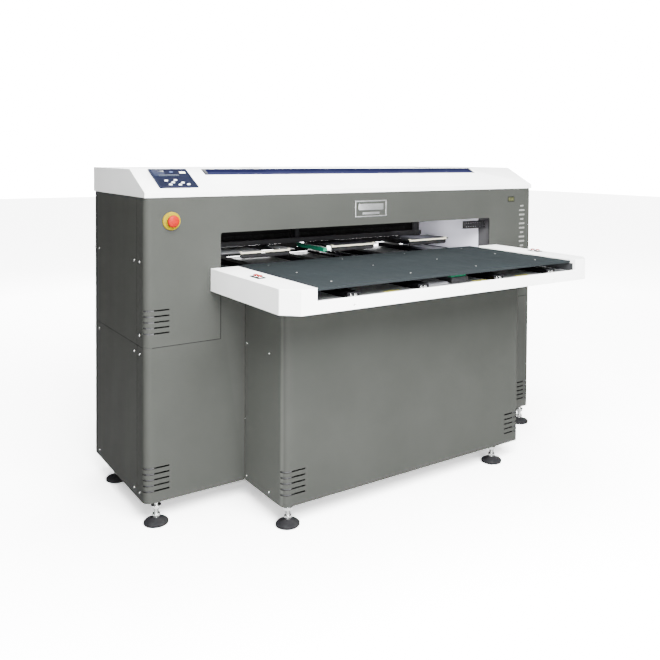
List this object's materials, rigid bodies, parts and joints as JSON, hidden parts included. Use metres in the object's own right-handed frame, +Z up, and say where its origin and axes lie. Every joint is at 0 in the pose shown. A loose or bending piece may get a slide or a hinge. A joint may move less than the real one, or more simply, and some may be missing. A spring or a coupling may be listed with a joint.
{
  "type": "flatbed garment printer",
  "caption": "Wide floor-standing flatbed garment printer: grey sheet-metal cabinet, white sloped cover, loading tray with sliding platen table, belt-driven print carriage and levelling feet.",
  "frame": {"origin": "centre of the footprint at floor level", "axes": "+X to the right seen from the loading side, +Y from the loading tray to the rear, +Z up"},
  "size_m": [1.8, 1.097, 1.167],
  "materials": {
    "white_paint": "satin powder coat",
    "grey_paint": "satin powder coat",
    "bed_aluminium": "machined",
    "frame_paint": "matt black",
    "table_grey": "satin anodised",
    "rail_black": "black oxide",
    "steel": "bright",
    "black_plastic": "matt",
    "belt_rubber": "matt",
    "cream_rubber": "matt",
    "green_plastic": "satin",
    "navy_film": "satin film",
    "indigo_window": "tinted, glossy",
    "key_grey": "satin",
    "yellow_plastic": "satin",
    "red_plastic": "gloss",
    "foot_rubber": "matt"
  },
  "bodies": {
    "root": {"top_cover": "white_paint", "loading_tray": "white_paint", "front_upper_panel": "grey_paint", "front_lower_left_panel": "grey_paint", "front_lower_right_panel": "grey_paint", "base_cabinet_panel": "grey_paint", "left_side_panel": "grey_paint", "right_side_panel": "grey_paint", "rear_panel": "grey_paint", "bed_plate": "bed_aluminium", "gantry_frame": "bed_aluminium", "chassis_frame": "frame_paint", "roller_beam": "frame_paint", "linear_rail_1": "rail_black", "linear_rail_2": "rail_black", "linear_rail_3": "rail_black", "linear_rail_4": "rail_black", "table_idler_housing": "black_plastic", "table_motor": "black_plastic", "carriage_motor": "black_plastic", "capping_station": "black_plastic", "button_plate_left": "black_plastic", "button_plate_right": "black_plastic", "table_belt": "belt_rubber", "carriage_belt": "belt_rubber", "sensor_bar": "green_plastic", "control_panel": "navy_film", "estop_ring": "yellow_plastic", "foot_front_left": "foot_rubber", "foot_front_right": "foot_rubber", "foot_rear_left": "foot_rubber", "foot_rear_right": "foot_rubber", "foot_base_left": "foot_rubber", "foot_base_right": "foot_rubber"},
    "table": {"platen_table": "table_grey", "table_runner_frame": "steel"},
    "carriage": {"print_carriage": "frame_paint", "print_head_block": "steel"},
    "table_drive_pulley": {"table_drive_pulley": "steel"},
    "table_idler_pulley": {"table_idler_pulley": "steel"},
    "carriage_drive_pulley": {"carriage_drive_pulley": "steel"},
    "carriage_idler_pulley": {"carriage_idler_pulley": "steel"},
    "cap_tray": {"cap_tray": "cream_rubber"},
    "roller_1": {"hold_down_roller_1": "cream_rubber"},
    "roller_2": {"hold_down_roller_2": "cream_rubber"},
    "roller_3": {"hold_down_roller_3": "cream_rubber"},
    "estop": {"estop_button": "red_plastic"},
    "lid": {"access_lid": "white_paint", "window_strip": "indigo_window"},
    "key_1": {"panel_key_1": "key_grey"},
    "key_2": {"panel_key_2": "key_grey"},
    "key_3": {"panel_key_3": "key_grey"},
    "key_4": {"panel_key_4": "key_grey"},
    "key_5": {"panel_key_5": "key_grey"},
    "key_6": {"panel_key_6": "key_grey"},
    "key_7": {"panel_key_7": "key_grey"},
    "button_left_1": {"red_button_left_1": "red_plastic"},
    "button_left_2": {"red_button_left_2": "red_plastic"},
    "button_right_1": {"red_button_right_1": "red_plastic"},
    "button_right_2": {"red_button_right_2": "red_plastic"}
  },
  "joints": [
    {"name": "table_slide", "type": "slide", "parent": "root", "child": "table", "axis": [0, 1, 0], "range_m": [0, 0.56]},
    {"name": "carriage_slide", "type": "slide", "parent": "root", "child": "carriage", "axis": [1, 0, 0], "range_m": [0, 1.27]},
    {"name": "table_drive_spin", "type": "hinge", "parent": "root", "child": "table_drive_pulley", "pos_m": [0.036, 0.4685, 0.794], "axis": [0, 0, 1], "range_deg": [-5, 1097]},
    {"name": "table_idler_spin", "type": "hinge", "parent": "root", "child": "table_idler_pulley", "pos_m": [0.036, -0.4535, 0.794], "axis": [0, 0, 1], "range_deg": [-5, 1097]},
    {"name": "carriage_drive_spin", "type": "hinge", "parent": "root", "child": "carriage_drive_pulley", "pos_m": [-0.845, 0.3485, 1.052], "axis": [0, 0, 1], "range_deg": [-5, 2481]},
    {"name": "carriage_idler_spin", "type": "hinge", "parent": "root", "child": "carriage_idler_pulley", "pos_m": [0.62, 0.3485, 1.052], "axis": [0, 0, 1], "range_deg": [-5, 2481]},
    {"name": "cap_lift", "type": "slide", "parent": "root", "child": "cap_tray", "axis": [0, 0, 1], "range_m": [0, 0.0115]},
    {"name": "lid_hinge", "type": "hinge", "parent": "root", "child": "lid", "pos_m": [0, 0.4785, 1.167], "axis": [-1, 0, 0], "range_deg": [0, 80]},
    {"name": "estop_push", "type": "slide", "parent": "root", "child": "estop", "axis": [0, 1, 0], "range_m": [0, 0.005]},
    {"name": "roller_spin_1", "type": "hinge", "parent": "root", "child": "roller_1", "pos_m": [-0.389, 0.1235, 0.842], "axis": [1, 0, 0], "continuous": true},
    {"name": "roller_spin_2", "type": "hinge", "parent": "root", "child": "roller_2", "pos_m": [0.01, 0.1235, 0.842], "axis": [1, 0, 0], "continuous": true},
    {"name": "roller_spin_3", "type": "hinge", "parent": "root", "child": "roller_3", "pos_m": [0.404, 0.1235, 0.842], "axis": [1, 0, 0], "continuous": true},
    {"name": "key_press_1", "type": "slide", "parent": "root", "child": "key_1", "axis": [0, 0.4424, -0.8968], "range_m": [0, 0.0012], "stiffness_N_per_m": 150},
    {"name": "key_press_2", "type": "slide", "parent": "root", "child": "key_2", "axis": [0, 0.4424, -0.8968], "range_m": [0, 0.0012], "stiffness_N_per_m": 150},
    {"name": "key_press_3", "type": "slide", "parent": "root", "child": "key_3", "axis": [0, 0.4424, -0.8968], "range_m": [0, 0.0012], "stiffness_N_per_m": 150},
    {"name": "key_press_4", "type": "slide", "parent": "root", "child": "key_4", "axis": [0, 0.4424, -0.8968], "range_m": [0, 0.0012], "stiffness_N_per_m": 150},
    {"name": "key_press_5", "type": "slide", "parent": "root", "child": "key_5", "axis": [0, 0.4424, -0.8968], "range_m": [0, 0.0012], "stiffness_N_per_m": 150},
    {"name": "key_press_6", "type": "slide", "parent": "root", "child": "key_6", "axis": [0, 0.4424, -0.8968], "range_m": [0, 0.0012], "stiffness_N_per_m": 150},
    {"name": "key_press_7", "type": "slide", "parent": "root", "child": "key_7", "axis": [0, 0.4424, -0.8968], "range_m": [0, 0.0012], "stiffness_N_per_m": 150},
    {"name": "button_press_left_1", "type": "slide", "parent": "root", "child": "button_left_1", "axis": [0, 0, -1], "range_m": [0, 0.002], "stiffness_N_per_m": 400},
    {"name": "button_press_left_2", "type": "slide", "parent": "root", "child": "button_left_2", "axis": [0, 0, -1], "range_m": [0, 0.002], "stiffness_N_per_m": 400},
    {"name": "button_press_right_1", "type": "slide", "parent": "root", "child": "button_right_1", "axis": [0, 0, -1], "range_m": [0, 0.002], "stiffness_N_per_m": 400},
    {"name": "button_press_right_2", "type": "slide", "parent": "root", "child": "button_right_2", "axis": [0, 0, -1], "range_m": [0, 0.002], "stiffness_N_per_m": 400}
  ],
  "couplings": [
    {"joint": "table_drive_spin", "follows": "table_slide", "rad_per_m": 34.014},
    {"joint": "table_idler_spin", "follows": "table_slide", "rad_per_m": 34.014},
    {"joint": "carriage_drive_spin", "follows": "carriage_slide", "rad_per_m": 34.014},
    {"joint": "carriage_idler_spin", "follows": "carriage_slide", "rad_per_m": 34.014}
  ]
}
